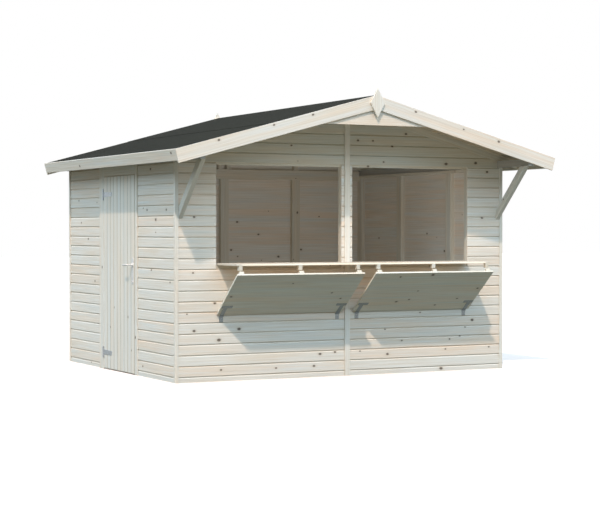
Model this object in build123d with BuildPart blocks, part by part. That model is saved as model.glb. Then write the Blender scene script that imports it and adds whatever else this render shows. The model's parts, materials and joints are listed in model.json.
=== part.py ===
"""Wooden market stall: boarded walls on a stud frame, a 15 degree gable roof that
shelters the counter, a side door, a counter shelf and two hinged front flaps.

Millimetres. The origin is at the middle of the footprint box, on the ground.
The counter faces -Y, the side door is in the -X wall, and +Z is up."""

import os
from math import cos, radians, sin, sqrt, tan

from build123d import *

# Body of the stall
stall_width = 3345.0
stall_depth = 2685.0
wall_height = 1901.0
cladding = 16.0
frame_depth = 45.0
frame_width = 45.0
side_rail_drop = 28.0
back_rail_drop = 58.0
trim_width = 25.0
trim_thickness = 8.0
strip_width = 50.0
strip_thickness = 14.0
first_side_joint = 842.0
second_side_joint = 1790.0

# Serving openings in the front wall
centre_pier = 110.0
corner_pier = 381.5
opening_bottom = 976.0
head_reveal = 22.0
sill_reveal = 32.0

# Counter shelf
shelf_thickness = 16.0
shelf_reach = 398.0
shelf_fit = 1.0
shelf_end_gap = 13.0
block_width = 34.0
block_depth = 30.0
block_height = 40.0

# Roof, whose felt passes this far above the walls' outer edges
roof_rise = 136.0
pitch = 15.0
felt_thickness = 3.0
deck_thickness = 16.0
rafter_depth = 65.0
side_overhang = 229.0
front_overhang = 541.0
rear_overhang = 115.0
barge_depth = 118.0
barge_thickness = 18.0
fascia_depth = 98.0
purlin_width = 48.0
ridge_beam_depth = 95.0
tie_board_drop = 261.0
tie_board_half = 560.0
finial_width = 142.0
finial_height = 254.0
finial_rise = 58.0
brace_reach = 492.0
brace_depth = 64.0
brace_width = 40.0

# Side door
door_front_edge = 916.0
door_width = 780.0
door_head_depth = 83.0
door_bottom = 8.0
door_gap = 5.0
leaf_thickness = 20.0
casing_thickness = 12.0
front_casing = 50.0
rear_casing = 119.0
ledge_width = 95.0
ledge_thickness = 20.0
ledge_inset = 45.0

# Flaps under the counter
flap_length = 550.0
flap_thickness = 16.0
flap_lean = 50.0
flap_foot = 12.0
flap_clearance = 6.0
batten_width = 43.0
batten_thickness = 26.0
batten_inset = 26.0

# Hinges and door handle
pin_radius = 2.5
knuckle_radius = 5.0
leaf_plate = 3.0
knuckle_play = 1.0
bore_play = 0.3
flap_axis_reach = 10.0
flap_hinge_inset = 45.0
flap_hinge_width = 36.0
flap_plate_drop = 46.0
flap_strap_length = 140.0
flap_cross_inset = 7.0
flap_cross_width = 100.0
flap_cross_height = 30.0
door_hinge_low = 153.0
door_hinge_high = 168.0
door_plate_height = 105.0
door_plate_width = 27.0
door_strap_length = 213.0
door_strap_height = 50.0
door_strap_tip = 38.0
handle_height = 995.0
handle_inset = 43.0
handle_plate_width = 45.0
handle_plate_length = 245.0
handle_plate_drop = 54.0
lever_radius = 9.0
lever_reach = 62.0
lever_length = 104.0

# Places worked out from the sizes above
half_width = stall_width / 2
front_reach = front_overhang + barge_thickness
rear_reach = rear_overhang + barge_thickness
front_y = -(stall_depth + rear_reach - front_reach) / 2
back_y = front_y + stall_depth
stud_front = front_y + cladding
room_front = stud_front + frame_depth
stud_back = back_y - cladding
room_back = stud_back - frame_depth
stud_side = half_width - cladding
room_side = stud_side - frame_depth

back_joint = half_width / 2
pier_half = centre_pier / 2
opening_far = half_width - corner_pier
opening_middle = (pier_half + opening_far) / 2
sill_top = opening_bottom + sill_reveal
head_bottom = wall_height - head_reveal
head_top = head_bottom + frame_width

roof_slope = tan(radians(pitch))
roof_cos = cos(radians(pitch))
roof_sin = sin(radians(pitch))
ridge_height = wall_height + roof_rise + half_width * roof_slope
eave_x = half_width + side_overhang
purlin_inner = half_width - purlin_width
barge_front = front_y - front_overhang
roof_front = barge_front + barge_thickness
roof_back = back_y + rear_overhang - barge_thickness
rafter_front = roof_front + barge_thickness
ridge_half = purlin_width / 2


def roof_z(x, offset=0.0):
    """Height of the roof plane that lies offset below the felt's top, at x."""
    return ridge_height - abs(x) * roof_slope - offset / roof_cos


def eave_point(side, offset, inset=0.0):
    """Point at an eave's square-cut end, offset below the felt's top and set in."""
    x = eave_x - inset * roof_cos - offset * roof_sin
    return (side * x, roof_z(x, offset))


deck_under = felt_thickness + deck_thickness
rafter_under = deck_under + rafter_depth
ridge_beam_top = roof_z(ridge_half, rafter_under)
ridge_beam_bottom = ridge_beam_top - ridge_beam_depth

flap_sin = sin(radians(flap_lean))
flap_cos = cos(radians(flap_lean))
flap_inner = knuckle_radius + flap_thickness
flap_end = flap_foot + flap_length
batten_inner = flap_inner + batten_thickness
batten_half = batten_width / 2
flap_rise = flap_end * flap_cos + batten_inner * flap_sin
flap_axis_y = front_y - flap_axis_reach
flap_axis_z = sill_top - block_height - flap_clearance - flap_rise
batten_middles = (
    pier_half + batten_inset + batten_half,
    opening_middle,
    opening_far - batten_inset - batten_half,
)

door_front = front_y + door_front_edge
door_rear = door_front + door_width
door_top = wall_height - door_head_depth - door_gap
doorway_front = door_front - door_gap
doorway_rear = door_rear + door_gap
door_face = -half_width - casing_thickness
door_axis_x = door_face - knuckle_radius
door_axis_y = door_rear + door_gap / 2
door_hinge_heights = (door_bottom + door_hinge_low, door_top - door_hinge_high)

os.makedirs("parts", exist_ok=True)


def save(part, name):
    """Label a finished piece and write it."""
    part.label = name
    export_step(part, f"parts/{name}.step")


def add_bar(xs, ys, zs):
    """Add a square-cut piece between two values on each axis."""
    with BuildSketch(Plane.XY.offset(zs[0])) as footprint:
        with Locations(((xs[0] + xs[1]) / 2, (ys[0] + ys[1]) / 2)):
            Rectangle(xs[1] - xs[0], ys[1] - ys[0])
    extrude(footprint.sketch, amount=zs[1] - zs[0])


def add_gable_piece(outline, ys):
    """Add a piece with an outline of (x, z) points between two values of y."""
    with BuildSketch(Plane.XZ.offset(-ys[1])) as face:
        with BuildLine():
            Polyline(*outline, close=True)
        make_face()
    extrude(face.sketch, amount=ys[1] - ys[0])


def add_side_piece(outline, xs):
    """Add a piece with an outline of (y, z) points between two values of x."""
    with BuildSketch(Plane.YZ.offset(xs[0])) as face:
        with BuildLine():
            Polyline(*outline, close=True)
        make_face()
    extrude(face.sketch, amount=xs[1] - xs[0])


def mirrored(side, x_one, x_two):
    """Turn two distances from the middle into a sorted x range on one side."""
    return sorted((side * x_one, side * x_two))


# Front wall, split into boarded fields around the two serving openings
for side, name in ((-1, "front_lower_left"), (1, "front_lower_right")):
    with BuildPart() as lower_field:
        add_bar(mirrored(side, 0, half_width), (front_y, stud_front), (0, opening_bottom))
    save(lower_field.part, name)

with BuildPart() as front_piers:
    for pier_range in (
        (-half_width, -opening_far),
        (-pier_half, pier_half),
        (opening_far, half_width),
    ):
        add_bar(pier_range, (front_y, stud_front), (opening_bottom, wall_height))
save(front_piers.part, "front_piers")

# Gables, notched for the ridge beam and set between the eave purlins
gable_outline = (
    (-purlin_inner, wall_height),
    (purlin_inner, wall_height),
    (purlin_inner, roof_z(purlin_inner, rafter_under)),
    (ridge_half, ridge_beam_top),
    (ridge_half, ridge_beam_bottom),
    (-ridge_half, ridge_beam_bottom),
    (-ridge_half, ridge_beam_top),
    (-purlin_inner, roof_z(purlin_inner, rafter_under)),
)
for gable_range, name in (
    ((front_y, stud_front), "front_gable"),
    ((stud_back, back_y), "back_gable"),
):
    with BuildPart() as gable:
        add_gable_piece(gable_outline, gable_range)
    save(gable.part, name)

# Back wall, in two boarded halves
for side, name in ((-1, "back_wall_left"), (1, "back_wall_right")):
    with BuildPart() as back_half:
        add_bar(mirrored(side, 0, half_width), (stud_back, back_y), (0, wall_height))
    save(back_half.part, name)

# Side walls: plain on the right, split around the doorway on the left
with BuildPart() as right_wall:
    add_bar((stud_side, half_width), (stud_front, stud_back), (0, wall_height))
save(right_wall.part, "right_wall")

with BuildPart() as left_wall:
    for wall_range in ((stud_front, doorway_front), (doorway_rear, stud_back)):
        add_bar((-half_width, -stud_side), wall_range, (0, wall_height))
save(left_wall.part, "left_wall")

with BuildPart() as door_head:
    add_bar(
        (door_face, -stud_side),
        (doorway_front, doorway_rear),
        (door_top + door_gap, wall_height),
    )
save(door_head.part, "door_head")

with BuildPart() as door_casing:
    for casing_range in (
        (doorway_front - front_casing, doorway_front),
        (doorway_rear, doorway_rear + rear_casing),
    ):
        add_bar((door_face, -half_width), casing_range, (0, wall_height))
save(door_casing.part, "door_casing")

# Cover strips over the joints between wall panels
strip_half = strip_width / 2
with BuildPart() as cover_strips:
    for strip_range in (
        (front_y - strip_thickness, front_y),
        (back_y, back_y + strip_thickness),
    ):
        add_bar((-strip_half, strip_half), strip_range, (0, ridge_beam_bottom))
    for joint in (first_side_joint, second_side_joint):
        joint_y = front_y + joint
        add_bar(
            (half_width, half_width + strip_thickness),
            (joint_y - strip_half, joint_y + strip_half),
            (0, wall_height),
        )
save(cover_strips.part, "cover_strips")

# Thin angle trims that close the four corners
with BuildPart() as corner_trims:
    for side in (-1, 1):
        for corner_y, outward in ((front_y, -1), (back_y, 1)):
            outer_x = side * (half_width + trim_thickness)
            outer_y = corner_y + outward * trim_thickness
            inner_x = side * (half_width - trim_width)
            inner_y = corner_y - outward * trim_width
            with BuildSketch(Plane.XY) as angle:
                with BuildLine():
                    Polyline(
                        (outer_x, outer_y),
                        (inner_x, outer_y),
                        (inner_x, corner_y),
                        (side * half_width, corner_y),
                        (side * half_width, inner_y),
                        (outer_x, inner_y),
                        close=True,
                    )
                make_face()
            extrude(amount=wall_height)
save(corner_trims.part, "corner_trims")

# Studs of the front and back walls
corner_stud = stud_side - frame_width
below_head = (frame_width, head_bottom)
front_line = (stud_front, room_front)
back_line = (room_back, stud_back)
beam_stud = (ridge_half, ridge_half + frame_width)
gable_stud = (back_joint - frame_width / 2, back_joint + frame_width / 2)
back_rail_bottom = wall_height - back_rail_drop
back_rail_top = wall_height + frame_width

with BuildPart() as end_wall_studs:
    for side in (-1, 1):
        corner_range = mirrored(side, corner_stud, stud_side)
        add_bar(corner_range, front_line, (frame_width, wall_height))
        add_bar(corner_range, back_line, (frame_width, wall_height))
        add_bar(mirrored(side, pier_half - frame_width, pier_half), front_line, below_head)
        add_bar(mirrored(side, opening_far, opening_far + frame_width), front_line, below_head)
        add_bar(
            mirrored(side, opening_middle - frame_width / 2, opening_middle + frame_width / 2),
            front_line,
            (frame_width, sill_top - frame_width),
        )
        add_bar(
            mirrored(side, back_joint - frame_width, back_joint + frame_width),
            back_line,
            (frame_width, back_rail_bottom),
        )
        for wall_line, rail_top in ((front_line, head_top), (back_line, back_rail_top)):
            for stud in (beam_stud, gable_stud):
                add_bar(
                    mirrored(side, *stud),
                    wall_line,
                    (rail_top, roof_z(stud[1], rafter_under)),
                )
    add_bar((-frame_width, frame_width), back_line, (frame_width, back_rail_bottom))
save(end_wall_studs.part, "end_wall_studs")

# Rails of the front and back walls
with BuildPart() as end_wall_rails:
    for wall_line in (front_line, back_line):
        add_bar((-stud_side, stud_side), wall_line, (0, frame_width))
    add_bar((-corner_stud, corner_stud), front_line, (head_bottom, head_top))
    add_bar((-corner_stud, corner_stud), back_line, (back_rail_bottom, back_rail_top))
    for side in (-1, 1):
        add_bar(
            mirrored(side, pier_half, opening_far),
            front_line,
            (sill_top - frame_width, sill_top),
        )
save(end_wall_rails.part, "end_wall_rails")

# Studs and rails of the side walls
side_rail_bottom = wall_height - side_rail_drop
side_stud_height = (frame_width, side_rail_bottom)
left_line = (-stud_side, -room_side)
right_line = (room_side, stud_side)
end_stud_ranges = (
    (room_front, room_front + frame_width),
    (room_back - frame_width, room_back),
)
door_stud_ranges = (
    (doorway_front - frame_width, doorway_front),
    (doorway_rear, doorway_rear + 2 * frame_width),
)
with BuildPart() as side_wall_studs:
    for stud_range in end_stud_ranges:
        add_bar(left_line, stud_range, side_stud_height)
        add_bar(right_line, stud_range, side_stud_height)
    for stud_range in door_stud_ranges:
        add_bar(left_line, stud_range, side_stud_height)
    for joint in (first_side_joint, second_side_joint):
        joint_y = front_y + joint
        add_bar(right_line, (joint_y - frame_width, joint_y + frame_width), side_stud_height)
save(side_wall_studs.part, "side_wall_studs")

with BuildPart() as side_wall_rails:
    for wall_line in (left_line, right_line):
        add_bar(wall_line, (room_front, room_back), (side_rail_bottom, wall_height))
    add_bar(right_line, (room_front, room_back), (0, frame_width))
    add_bar(left_line, (room_front, doorway_front), (0, frame_width))
    add_bar(left_line, (doorway_rear, room_back), (0, frame_width))
save(side_wall_rails.part, "side_wall_rails")

# Eave purlins, bevelled on top, and the ridge beam
with BuildPart() as eave_purlins:
    for side in (-1, 1):
        add_gable_piece(
            (
                (side * purlin_inner, wall_height),
                (side * half_width, wall_height),
                (side * half_width, roof_z(half_width, rafter_under)),
                (side * purlin_inner, roof_z(purlin_inner, rafter_under)),
            ),
            (roof_front, roof_back),
        )
save(eave_purlins.part, "eave_purlins")

with BuildPart() as ridge_beam:
    add_bar(
        (-ridge_half, ridge_half),
        (rafter_front, roof_back),
        (ridge_beam_bottom, ridge_beam_top),
    )
save(ridge_beam.part, "ridge_beam")

# Rafters: one behind each bargeboard, one over each gable, two between
bay = (stud_back - frame_width - stud_front) / 3
rafter_starts = (
    rafter_front,
    front_y,
    stud_front + bay,
    stud_front + 2 * bay,
    back_y - frame_width,
    roof_back - frame_width,
)


def roof_outline(side, top, bottom):
    """Outline of a roof layer between two depths below the felt's top."""
    return (
        (0, roof_z(0, top)),
        eave_point(side, top, barge_thickness),
        eave_point(side, bottom, barge_thickness),
        (0, roof_z(0, bottom)),
    )


def rafter_outline(side):
    """Outline of a rafter, cut flat where it sits on the ridge beam."""
    return (
        (0, roof_z(0, deck_under)),
        eave_point(side, deck_under, barge_thickness),
        eave_point(side, rafter_under, barge_thickness),
        (side * ridge_half, ridge_beam_top),
        (0, ridge_beam_top),
    )


for side, hand in ((-1, "left"), (1, "right")):
    with BuildPart() as rafters:
        for start in rafter_starts:
            add_gable_piece(rafter_outline(side), (start, start + frame_width))
    save(rafters.part, f"{hand}_rafters")

    with BuildPart() as roof_deck:
        add_gable_piece(
            roof_outline(side, felt_thickness, deck_under),
            (roof_front, roof_back),
        )
    save(roof_deck.part, f"{hand}_roof_deck")

    with BuildPart() as roof_felt:
        add_gable_piece(
            roof_outline(side, 0, felt_thickness),
            (roof_front, roof_back),
        )
    save(roof_felt.part, f"{hand}_roof_felt")

    with BuildPart() as bargeboards:
        for start in (barge_front, roof_back):
            add_gable_piece(
                (
                    (0, roof_z(0)),
                    eave_point(side, 0),
                    eave_point(side, barge_depth),
                    (0, roof_z(0, barge_depth)),
                ),
                (start, start + barge_thickness),
            )
    save(bargeboards.part, f"{hand}_bargeboards")

with BuildPart() as eave_fascias:
    for side in (-1, 1):
        add_gable_piece(
            (
                eave_point(side, 0, barge_thickness),
                eave_point(side, 0),
                eave_point(side, fascia_depth),
                eave_point(side, fascia_depth, barge_thickness),
            ),
            (roof_front, roof_back),
        )
save(eave_fascias.part, "eave_fascias")

# Board that ties the front bargeboards together under the ridge
with BuildPart() as tie_board:
    add_gable_piece(
        (
            (-tie_board_half, ridge_height - tie_board_drop),
            (tie_board_half, ridge_height - tie_board_drop),
            (tie_board_half, roof_z(tie_board_half, deck_under)),
            (0, roof_z(0, deck_under)),
            (-tie_board_half, roof_z(tie_board_half, deck_under)),
        ),
        (roof_front, rafter_front),
    )
save(tie_board.part, "tie_board")

# Diamond finials on both gables
finial_tip = ridge_height + finial_rise
finial_middle = finial_tip - finial_height / 2
with BuildPart() as gable_finials:
    for start in (barge_front - barge_thickness, back_y + rear_overhang):
        add_gable_piece(
            (
                (0, finial_tip),
                (finial_width / 2, finial_middle),
                (0, finial_tip - finial_height),
                (-finial_width / 2, finial_middle),
            ),
            (start, start + barge_thickness),
        )
save(gable_finials.part, "gable_finials")

# Knee braces at 45 degrees, from the boards beside the corner trims to the eave purlins
brace_height = brace_depth * sqrt(2)
brace_outer = half_width - trim_width
with BuildPart() as overhang_braces:
    for side in (-1, 1):
        add_side_piece(
            (
                (front_y, wall_height - brace_reach),
                (front_y, wall_height - brace_reach + brace_height),
                (front_y - brace_reach + brace_height, wall_height),
                (front_y - brace_reach, wall_height),
            ),
            mirrored(side, brace_outer - brace_width, brace_outer),
        )
save(overhang_braces.part, "overhang_braces")

# Counter shelf, notched around the centre pier and its cover strip
shelf_half = opening_far - shelf_end_gap
pier_notch = pier_half + shelf_fit
strip_notch = strip_half + shelf_fit
strip_notch_y = front_y - strip_thickness - shelf_fit
pier_notch_y = front_y - shelf_fit
with BuildPart() as counter_shelf:
    with BuildSketch(Plane.XY.offset(sill_top)):
        with BuildLine():
            Polyline(
                (-shelf_half, front_y - shelf_reach),
                (shelf_half, front_y - shelf_reach),
                (shelf_half, room_front),
                (pier_notch, room_front),
                (pier_notch, pier_notch_y),
                (strip_notch, pier_notch_y),
                (strip_notch, strip_notch_y),
                (-strip_notch, strip_notch_y),
                (-strip_notch, pier_notch_y),
                (-pier_notch, pier_notch_y),
                (-pier_notch, room_front),
                (-shelf_half, room_front),
                close=True,
            )
        make_face()
    extrude(amount=shelf_thickness)
save(counter_shelf.part, "counter_shelf")

# Blocks under the shelf's front edge, one over each batten of the flaps
with BuildPart() as shelf_blocks:
    for side in (-1, 1):
        for middle in batten_middles:
            add_bar(
                mirrored(side, middle - block_width / 2, middle + block_width / 2),
                (front_y - shelf_reach, front_y - shelf_reach + block_depth),
                (sill_top - block_height, sill_top),
            )
save(shelf_blocks.part, "shelf_blocks")

# Flaps: on this plane local x is X, local y runs up the flap, and the normal
# points outward; the hinge pin lies in the plane
flap_plane = Plane(
    origin=(0, flap_axis_y, flap_axis_z),
    x_dir=(1, 0, 0),
    z_dir=(0, -flap_cos, -flap_sin),
)
knuckle_end = flap_hinge_width / 2
knuckle_gap = flap_hinge_width / 6


def add_round_bar(axis_plane, radius, low, high, mode=Mode.ADD):
    """Add or cut a round bar along a plane's normal."""
    with BuildSketch(axis_plane.offset(low)) as section:
        Circle(radius)
    extrude(section.sketch, amount=high - low, mode=mode)


def add_plate(plate_plane, xs, ys, thickness):
    """Add a flat plate on a plane, between local x and y values."""
    with BuildSketch(plate_plane) as plate:
        with Locations(((xs[0] + xs[1]) / 2, (ys[0] + ys[1]) / 2)):
            Rectangle(xs[1] - xs[0], ys[1] - ys[0])
    extrude(plate.sketch, amount=thickness)


def flap_hinge_places(side):
    """X of one flap's two hinges, each with the middle of the cross on its strap."""
    cross_reach = flap_cross_inset + flap_cross_width / 2
    return (
        (side * (pier_half + flap_hinge_inset), side * (pier_half + cross_reach)),
        (side * (opening_far - flap_hinge_inset), side * (opening_far - cross_reach)),
    )


for side, hand in ((-1, "left"), (1, "right")):
    with BuildPart() as flap_panel:
        add_plate(
            flap_plane.offset(-flap_inner),
            mirrored(side, pier_half, opening_far),
            (flap_foot, flap_end),
            flap_thickness,
        )
    save(flap_panel.part, f"{hand}_flap_panel")

    batten_foot = (batten_inner * flap_cos - flap_axis_reach + flap_clearance) / flap_sin
    with BuildPart() as flap_battens:
        for middle in batten_middles:
            add_plate(
                flap_plane.offset(-batten_inner),
                mirrored(side, middle - batten_half, middle + batten_half),
                (batten_foot, flap_end),
                batten_thickness,
            )
    save(flap_battens.part, f"{hand}_flap_battens")

    strap_plane = flap_plane.offset(-knuckle_radius)
    with BuildPart() as flap_straps:
        for hinge_x, cross_x in flap_hinge_places(side):
            barrel_half = knuckle_gap - knuckle_play / 2
            barrel_plane = Plane(
                origin=(hinge_x, flap_axis_y, flap_axis_z),
                x_dir=(0, -flap_sin, flap_cos),
                z_dir=(1, 0, 0),
            )
            add_round_bar(barrel_plane, knuckle_radius, -barrel_half, barrel_half)
            add_plate(
                strap_plane,
                (hinge_x - barrel_half, hinge_x + barrel_half),
                (0, flap_foot),
                leaf_plate,
            )
            add_plate(
                strap_plane,
                (hinge_x - knuckle_end, hinge_x + knuckle_end),
                (knuckle_radius + knuckle_play, flap_strap_length),
                leaf_plate,
            )
            add_plate(
                strap_plane,
                (cross_x - flap_cross_width / 2, cross_x + flap_cross_width / 2),
                (flap_strap_length - flap_cross_height, flap_strap_length),
                leaf_plate,
            )
            add_round_bar(
                barrel_plane,
                pin_radius + bore_play,
                -barrel_half,
                barrel_half,
                Mode.SUBTRACT,
            )
    save(flap_straps.part, f"{hand}_flap_straps")

# Wall plates and pins of the flap hinges
plate_top = flap_axis_z - knuckle_radius
with BuildPart() as flap_hinge_plates:
    for side in (-1, 1):
        for hinge_x, _ in flap_hinge_places(side):
            barrel_plane = Plane(
                origin=(hinge_x, flap_axis_y, flap_axis_z),
                x_dir=(0, 1, 0),
                z_dir=(1, 0, 0),
            )
            add_round_bar(barrel_plane, pin_radius, -knuckle_end, knuckle_end)
            for end in (-1, 1):
                inner = end * (knuckle_gap + knuckle_play / 2)
                knuckle_range = sorted((inner, end * knuckle_end))
                add_round_bar(barrel_plane, knuckle_radius, *knuckle_range)
                add_bar(
                    (hinge_x + knuckle_range[0], hinge_x + knuckle_range[1]),
                    (flap_axis_y, front_y),
                    (flap_axis_z - knuckle_radius, flap_axis_z),
                )
            add_bar(
                (hinge_x - knuckle_end, hinge_x + knuckle_end),
                (front_y - leaf_plate, front_y),
                (plate_top - flap_plate_drop, plate_top),
            )
save(flap_hinge_plates.part, "flap_hinge_plates")

# Door leaf with three ledges on its inner face, behind the hinges and the handle
with BuildPart() as door_leaf:
    add_bar(
        (door_face, door_face + leaf_thickness),
        (door_front, door_rear),
        (door_bottom, door_top),
    )
save(door_leaf.part, "door_leaf")

ledge_face = door_face + leaf_thickness
with BuildPart() as door_ledges:
    for ledge_z in (handle_height, *door_hinge_heights):
        add_bar(
            (ledge_face, ledge_face + ledge_thickness),
            (door_front + ledge_inset, door_rear - ledge_inset),
            (ledge_z - ledge_width / 2, ledge_z + ledge_width / 2),
        )
save(door_ledges.part, "door_ledges")

# Door hinges: straps on the leaf, plates and pins on the rear casing
door_knuckle_end = door_plate_height / 2
strap_barrel = door_strap_height / 2 - knuckle_play
with BuildPart() as door_straps:
    for hinge_z in door_hinge_heights:
        barrel_plane = Plane.XY.offset(hinge_z).move(Location((door_axis_x, door_axis_y, 0)))
        add_round_bar(barrel_plane, knuckle_radius, -strap_barrel, strap_barrel)
        strap_root = door_axis_y - knuckle_radius - knuckle_play
        strap_end = door_axis_y - door_strap_length
        add_side_piece(
            (
                (door_axis_y, hinge_z - strap_barrel),
                (door_axis_y, hinge_z + strap_barrel),
                (strap_root, hinge_z + strap_barrel),
                (strap_end, hinge_z + door_strap_tip / 2),
                (strap_end, hinge_z - door_strap_tip / 2),
                (strap_root, hinge_z - strap_barrel),
            ),
            (door_face - leaf_plate, door_face),
        )
        add_round_bar(
            barrel_plane,
            pin_radius + bore_play,
            -strap_barrel,
            strap_barrel,
            Mode.SUBTRACT,
        )
save(door_straps.part, "door_straps")

with BuildPart() as door_hinge_plates:
    for hinge_z in door_hinge_heights:
        barrel_plane = Plane.XY.offset(hinge_z).move(Location((door_axis_x, door_axis_y, 0)))
        add_round_bar(barrel_plane, pin_radius, -door_knuckle_end, door_knuckle_end)
        for end in (-1, 1):
            inner = end * (strap_barrel + knuckle_play)
            knuckle_range = sorted((inner, end * door_knuckle_end))
            add_round_bar(barrel_plane, knuckle_radius, *knuckle_range)
            add_bar(
                (door_face - leaf_plate, door_face),
                (door_axis_y, door_axis_y + knuckle_radius + knuckle_play),
                (hinge_z + knuckle_range[0], hinge_z + knuckle_range[1]),
            )
        add_bar(
            (door_face - leaf_plate, door_face),
            (
                door_axis_y + knuckle_radius + knuckle_play,
                door_axis_y + knuckle_radius + knuckle_play + door_plate_width,
            ),
            (hinge_z - door_knuckle_end, hinge_z + door_knuckle_end),
        )
save(door_hinge_plates.part, "door_hinge_plates")

# Door handle: long plate, spindle boss and a lever that points to the hinges
handle_y = door_front + handle_inset
lever_x = door_face - lever_reach
with BuildPart() as door_handle:
    add_bar(
        (door_face - leaf_plate, door_face),
        (handle_y - handle_plate_width / 2, handle_y + handle_plate_width / 2),
        (
            handle_height - handle_plate_drop - handle_plate_length / 2,
            handle_height - handle_plate_drop + handle_plate_length / 2,
        ),
    )
    boss_plane = Plane(
        origin=(lever_x, handle_y, handle_height),
        x_dir=(0, 1, 0),
        z_dir=(1, 0, 0),
    )
    add_round_bar(boss_plane, lever_radius, 0, lever_reach)
    lever_plane = Plane(
        origin=(lever_x, handle_y - lever_radius, handle_height),
        x_dir=(1, 0, 0),
        z_dir=(0, 1, 0),
    )
    add_round_bar(lever_plane, lever_radius, 0, lever_length)
save(door_handle.part, "door_handle")
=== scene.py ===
"""Looks of the wooden market stall: every board and timber sawn as its own piece,
with grain and knots that follow it, felt on the roof, zinc hinges and a door handle.

Metres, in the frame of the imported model."""

import json
import random
from math import cos, pi, radians, sin

import bmesh
import bpy
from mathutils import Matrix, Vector


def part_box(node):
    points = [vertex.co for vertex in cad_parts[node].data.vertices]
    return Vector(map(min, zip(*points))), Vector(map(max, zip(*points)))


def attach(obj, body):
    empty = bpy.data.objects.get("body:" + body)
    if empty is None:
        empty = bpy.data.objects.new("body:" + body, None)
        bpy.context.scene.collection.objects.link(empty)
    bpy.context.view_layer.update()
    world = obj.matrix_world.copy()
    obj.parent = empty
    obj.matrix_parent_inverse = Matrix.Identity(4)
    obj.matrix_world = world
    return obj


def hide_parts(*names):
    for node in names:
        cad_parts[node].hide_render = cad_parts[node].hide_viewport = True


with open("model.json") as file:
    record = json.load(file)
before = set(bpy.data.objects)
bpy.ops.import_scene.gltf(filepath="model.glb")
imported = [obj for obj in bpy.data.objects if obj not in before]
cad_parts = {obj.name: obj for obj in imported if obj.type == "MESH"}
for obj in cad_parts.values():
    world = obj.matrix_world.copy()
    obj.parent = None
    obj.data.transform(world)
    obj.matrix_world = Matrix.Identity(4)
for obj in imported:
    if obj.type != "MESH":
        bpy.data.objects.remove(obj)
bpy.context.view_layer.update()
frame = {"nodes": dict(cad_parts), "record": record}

X = Vector((1, 0, 0))
Y = Vector((0, 1, 0))
Z = Vector((0, 0, 1))

# Cladding
board_cover = 0.0925
board_thickness = 0.016
first_course = 0.051
groove_height = 0.0095
groove_depth = 0.0065
chamfer_height = 0.006
chamfer_depth = 0.0035
arris = 0.0012
thinnest_course = 0.003
board_wander = 0.0003

# Other boards and timbers, with the width of their broken arrises
timber_arris = 0.0018
shelf_boards = 5
shelf_arris = 0.0015
flap_boards = 6
deck_boards = 21
panel_arris = 0.002
door_boards = 9
door_arris = 0.005
casing_arris = 0.004
casing_split_over = 0.08
outer_casing = 0.035
sharp_angle = 0.4

# Roof and flaps
pitch = radians(15)
flap_lean = radians(50)
felt_strip = 0.98
felt_lap = 0.08
felt_lift = 0.0022

# Knots that the seeded draws add, for each metre of board
front_rate = 0.04
left_rate = 0.12
hidden_rate = 0.2
gable_rate = 0.3
casing_rate = 0.3
timber_rate = 0.45
flap_rate = 0.05
door_rate = 0.1
plank_rate = 0.75
knot_radii = (0.004, 0.006, 0.008, 0.010)
knot_end_gap = 0.03
knot_edge_share = 0.15
knot_slots = 4
no_knot = (-100.0, 0.0, 0.001)

# Screws and hinges
screw_radius = 0.0042
screw_height = 0.0016
screw_sides = 12
leaf_plate = 0.003
door_strap_screws = ((0.025, 0.010), (0.070, -0.010), (0.125, 0.007), (0.190, 0.0))
door_plate_screws = (0.1, 0.36, 0.64, 0.9)
door_plate_inset = 0.0135
flap_root_screws = (0.040, 0.082)
flap_root_length = 0.05
flap_head_screw = 0.125
flap_head_inset = 0.014
wall_plate_screws = ((-0.009, 0.012), (0.009, 0.012), (0.0, 0.032))

# Door handle
rose_radius = 0.0205
rose_height = 0.007
plate_rim = 0.0015
plate_arc_steps = 8
lever_radius = 0.009
lever_flatness = 0.8
lever_bend = 0.018
lever_bend_steps = 6
lever_sides = 20
lever_root_share = 0.92
lever_bend_share = 0.95
lever_full_at = 0.05
lever_tip = ((0.012, 0.95), (0.005, 0.80), (0.001, 0.45))
cylinder_radius = 0.0085
cylinder_height = 0.006
cylinder_bevel = 0.001
cylinder_rise = 0.024
core_low = 0.001
core_high = 0.0035
plate_screw_top = 0.010
plate_screw_foot = 0.008
turned_sides = 24

# Camera
camera_place = (-7.147, -14.017, 1.315)
camera_pitch = radians(-0.957)
camera_yaw = radians(-27.372)
camera_lens = 98.12
camera_reach = 300

# Sun, sky and floor
sun_travel = Vector((0.722, 1.0, -1.55))
sun_colour = (1.0, 0.79, 0.64)
sun_strength = 2.34
sun_width = radians(1.5)
sky_strength = 1.0
sky_stops = (
    (0.0, (0.18, 0.19, 0.18)),
    (0.22, (0.18, 0.19, 0.18)),
    (0.42, (1.72, 2.12, 2.42)),
    (0.60, (1.96, 2.42, 2.79)),
    (0.80, (1.00, 1.25, 1.47)),
    (1.0, (0.52, 0.66, 0.78)),
)
floor_half = 60.0
floor_lit = (0.124, 0.125, 0.101, 1)
floor_seen = (0.95, 0.84, 0.79, 1)

# Soft lamps
fill_power = 10.6
fill_colour = (1.0, 0.99, 0.97)
fill_size = (2.9, 1.5)
fill_height = 1.05
fill_gap = 0.08
glow_power = 1.3
glow_colour = (1.0, 0.74, 0.56)
glow_depth = 0.12
glow_gap = 0.16
bounce_power = 4.0
bounce_colour = (1.0, 0.97, 0.88)
bounce_depth = 0.3
bounce_gap = 0.55
lamp_margin = 0.1

random_source = random.Random(11)

node_body = {
    node: body
    for body, nodes in frame["record"]["behaviour"]["bodies"].items()
    for node in nodes
}
node_slot = {part["node"]: part["material_slot"] for part in frame["record"]["subparts"]}


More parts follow.
